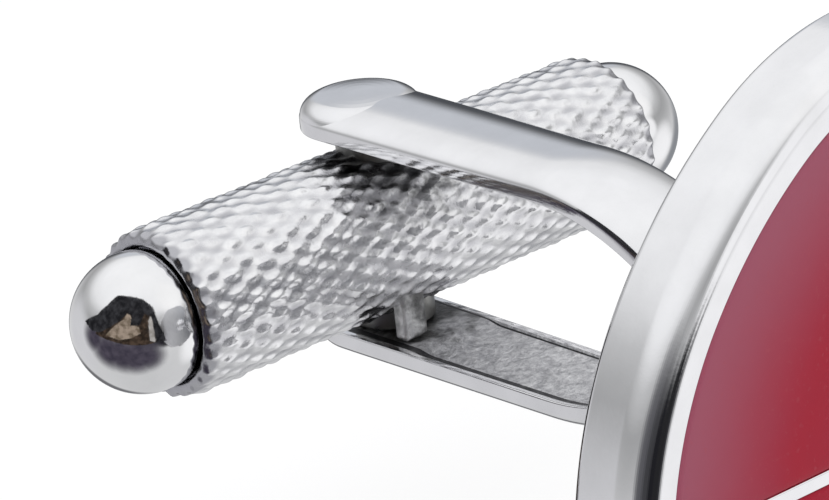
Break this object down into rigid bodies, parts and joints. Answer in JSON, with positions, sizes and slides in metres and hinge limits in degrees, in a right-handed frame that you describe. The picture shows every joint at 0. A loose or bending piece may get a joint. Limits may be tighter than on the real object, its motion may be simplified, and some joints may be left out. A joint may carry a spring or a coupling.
{
  "type": "swivel-bar cufflink",
  "caption": "Oval enamelled cufflink: a forked post carries a knurled toggle bar with ball ends that swivels on a pin from T to in line.",
  "frame": {"origin": "centre of the head's front face, in the plane of its ring and enamel", "axes": "-Y out of the face, +Y along the post to the toggle, +Z along the swivel pin with the upper arm on top, +X along the toggle at rest"},
  "size_m": [0.0218, 0.0214, 0.0186],
  "materials": {
    "bright_plate": "bright rhodium plate, polished",
    "cast_plate": "bright plate, with rough-cast inner faces on the arms",
    "knurled_plate": "bright plate over a diamond knurl",
    "brass_core": "plain turned",
    "spring_steel": "tempered strip",
    "crimson_enamel": "glossy, translucent crimson enamel"
  },
  "bodies": {
    "post": {"head_cup": "bright_plate", "upper_enamel": "crimson_enamel", "middle_enamel": "crimson_enamel", "lower_enamel": "crimson_enamel", "fork": "cast_plate", "pivot_pin": "bright_plate"},
    "toggle": {"toggle_sleeve": "knurled_plate", "near_end_cap": "bright_plate", "far_end_cap": "bright_plate", "toggle_core": "brass_core", "upper_bush": "bright_plate", "lower_bush": "bright_plate", "click_spring": "spring_steel"}
  },
  "joints": [
    {"name": "toggle_swivel", "type": "hinge", "parent": "post", "child": "toggle", "pos_m": [0, 0.0194, 0], "axis": [0, 0, 1], "range_deg": [-90, 90]}
  ]
}
